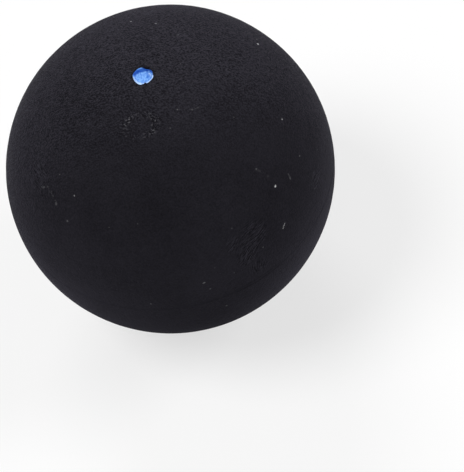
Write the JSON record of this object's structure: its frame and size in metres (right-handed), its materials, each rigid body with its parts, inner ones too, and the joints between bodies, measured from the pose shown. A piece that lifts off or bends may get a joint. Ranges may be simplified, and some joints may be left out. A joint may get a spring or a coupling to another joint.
{
  "type": "squash ball",
  "caption": "Hollow black rubber squash ball of cemented half shells, with a recessed blue speed dot on its pole and a row of plain white printed bars.",
  "frame": {"origin": "the centre of the ball", "axes": "+Z from the centre out through the coloured dot; the seam lies in the XY plane; the printed row is on the +Y side, just below the seam"},
  "size_m": [0.04, 0.04, 0.04],
  "materials": {
    "black_rubber": "matte",
    "rubber_cement": "satin",
    "blue_paint": "satin",
    "white_ink": "matte"
  },
  "bodies": {
    "root": {"dot_half_shell": "black_rubber", "print_half_shell": "black_rubber", "seam_cement": "rubber_cement", "blue_dot": "blue_paint", "print_bars": "white_ink"}
  },
  "joints": []
}
